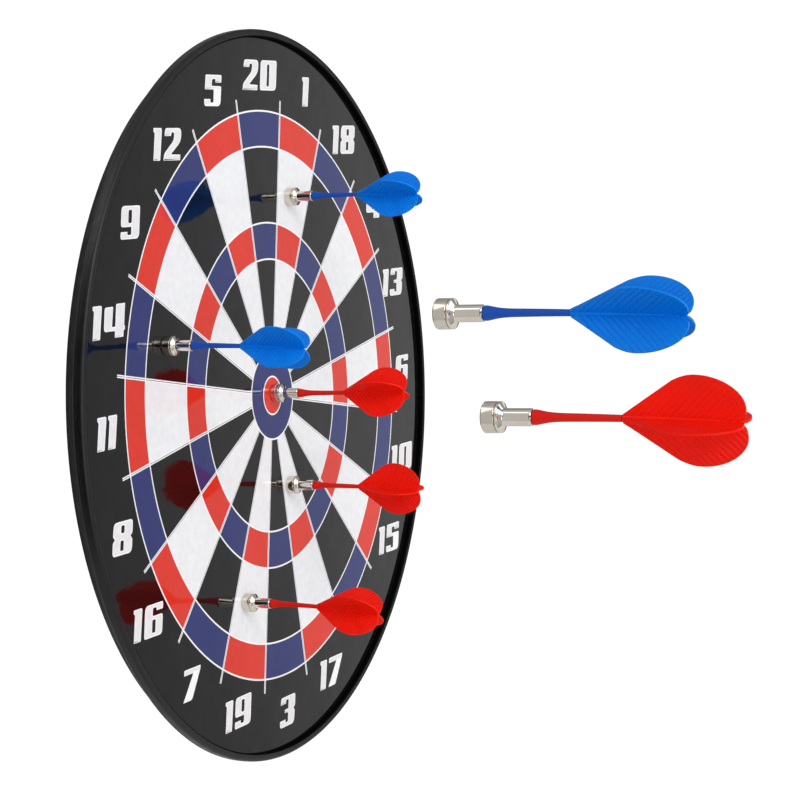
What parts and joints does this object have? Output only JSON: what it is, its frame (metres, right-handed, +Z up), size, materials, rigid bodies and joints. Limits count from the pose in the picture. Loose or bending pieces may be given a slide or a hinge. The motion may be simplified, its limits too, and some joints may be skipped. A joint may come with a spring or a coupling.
{
  "type": "magnetic dartboard",
  "caption": "Round wall-hung target: printed film over a steel sheet in a black plastic dish with a bezel, and magnet-tipped darts with four-vane flights that slide off and on.",
  "frame": {"origin": "centre of the board's flat back, on the wall plane", "axes": "+Z up, +X to the right for somebody facing the target, +Y into the wall, so the target faces -Y"},
  "size_m": [0.7981, 0.4747, 0.432],
  "materials": {
    "housing_plastic": "moulded black, fine texture, satin",
    "bezel_plastic": "moulded black, satin",
    "face_film": "gloss laminate over a black, white, red and blue print",
    "steel_sheet": "tinned, satin",
    "core_board": "raw medium-density fibreboard",
    "zinc_steel": "bright zinc plating",
    "magnet_nickel": "nickel plating over a sintered magnet",
    "barrel_nickel": "nickel plating, turned and lightly satin",
    "shaft_blue": "soft blue plastic, semi-gloss",
    "shaft_red": "soft red plastic, semi-gloss",
    "flight_blue": "soft blue plastic with moulded feather ribs",
    "flight_red": "soft red plastic with moulded feather ribs"
  },
  "bodies": {
    "board": {"rear_housing": "housing_plastic", "front_bezel": "bezel_plastic", "face_print": "face_film", "steel_sheet": "steel_sheet", "core_board": "core_board", "hanger_plate": "zinc_steel", "housing_screw_1": "zinc_steel", "housing_screw_2": "zinc_steel", "housing_screw_3": "zinc_steel", "housing_screw_4": "zinc_steel", "housing_screw_5": "zinc_steel", "housing_screw_6": "zinc_steel", "hanger_screw_1": "zinc_steel", "hanger_screw_2": "zinc_steel"},
    "dart_1": {"dart_1_magnet": "magnet_nickel", "dart_1_barrel": "barrel_nickel", "dart_1_shaft": "shaft_blue", "dart_1_flight": "flight_blue"},
    "dart_2": {"dart_2_magnet": "magnet_nickel", "dart_2_barrel": "barrel_nickel", "dart_2_shaft": "shaft_blue", "dart_2_flight": "flight_blue"},
    "dart_3": {"dart_3_magnet": "magnet_nickel", "dart_3_barrel": "barrel_nickel", "dart_3_shaft": "shaft_red", "dart_3_flight": "flight_red"},
    "dart_4": {"dart_4_magnet": "magnet_nickel", "dart_4_barrel": "barrel_nickel", "dart_4_shaft": "shaft_red", "dart_4_flight": "flight_red"},
    "dart_5": {"dart_5_magnet": "magnet_nickel", "dart_5_barrel": "barrel_nickel", "dart_5_shaft": "shaft_red", "dart_5_flight": "flight_red"},
    "dart_6": {"dart_6_magnet": "magnet_nickel", "dart_6_barrel": "barrel_nickel", "dart_6_shaft": "shaft_blue", "dart_6_flight": "flight_blue"},
    "dart_7": {"dart_7_magnet": "magnet_nickel", "dart_7_barrel": "barrel_nickel", "dart_7_shaft": "shaft_red", "dart_7_flight": "flight_red"}
  },
  "joints": [
    {"name": "dart_1_pull", "type": "slide", "parent": "board", "child": "dart_1", "axis": [0, -1, 0], "range_m": [0, 0.12]},
    {"name": "dart_2_pull", "type": "slide", "parent": "board", "child": "dart_2", "axis": [0, -1, 0], "range_m": [0, 0.12]},
    {"name": "dart_3_pull", "type": "slide", "parent": "board", "child": "dart_3", "axis": [0, -1, 0], "range_m": [0, 0.12]},
    {"name": "dart_4_pull", "type": "slide", "parent": "board", "child": "dart_4", "axis": [0, -1, 0], "range_m": [0, 0.12]},
    {"name": "dart_5_pull", "type": "slide", "parent": "board", "child": "dart_5", "axis": [0, -1, 0], "range_m": [0, 0.12]},
    {"name": "dart_6_throw", "type": "slide", "parent": "board", "child": "dart_6", "axis": [0.7628, 0.6467, 0], "range_m": [0, 0.5471]},
    {"name": "dart_7_throw", "type": "slide", "parent": "board", "child": "dart_7", "axis": [0.7376, 0.6753, 0], "range_m": [0, 0.55562]}
  ]
}
